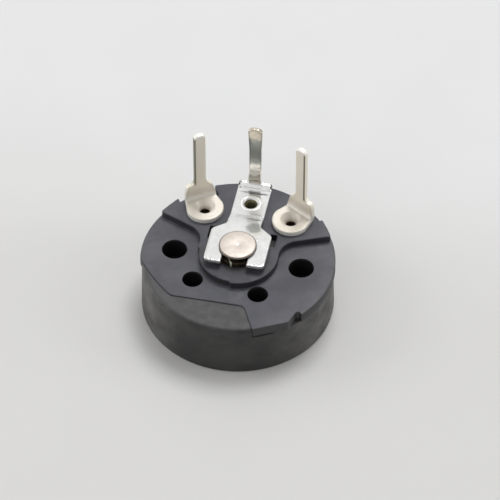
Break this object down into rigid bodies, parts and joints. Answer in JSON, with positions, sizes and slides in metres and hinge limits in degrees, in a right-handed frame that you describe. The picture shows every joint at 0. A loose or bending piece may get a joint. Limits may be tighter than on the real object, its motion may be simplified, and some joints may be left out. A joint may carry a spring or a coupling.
{
  "type": "potentiometer",
  "caption": "Round carbon potentiometer for a circuit board, with a keyed back plate, bent pin terminals, a forked centre strap and a slotted rotor.",
  "frame": {"origin": "where the rotor's axis meets the plane of the front face, which the part lies on", "axes": "+Z along the rotor's axis, from the front face to the pins; +Y from the rotor towards the centre pin; +X to the right"},
  "size_m": [0.0164, 0.0164, 0.0138],
  "materials": {
    "cup_plastic": "satin black moulding",
    "base_plastic": "satin dark grey moulding",
    "phenolic": "brown phenolic laminate",
    "carbon_ink": "matt printed carbon",
    "silver_ink": "matt printed silver",
    "rotor_plastic": "natural white moulding",
    "shaft_metal": "turned, thinly plated",
    "spring_bronze": "rolled bronze",
    "tinned_metal": "matt tinned",
    "bright_nickel": "bright nickel"
  },
  "bodies": {
    "housing": {"housing_cup": "cup_plastic", "base_plate": "base_plastic", "element_board": "phenolic", "carbon_track": "carbon_ink", "end_pads": "silver_ink", "terminal_left": "tinned_metal", "terminal_right": "tinned_metal", "centre_terminal": "bright_nickel", "eyelet_left": "tinned_metal", "eyelet_right": "tinned_metal", "eyelet_centre": "bright_nickel"},
    "rotor": {"rotor": "rotor_plastic", "pivot_shaft": "shaft_metal", "wiper_spring": "spring_bronze"}
  },
  "joints": [
    {"name": "adjust", "type": "hinge", "parent": "housing", "child": "rotor", "pos_m": [0, 0, 0.0013], "axis": [0, 0, 1], "range_deg": [-135, 135]}
  ]
}
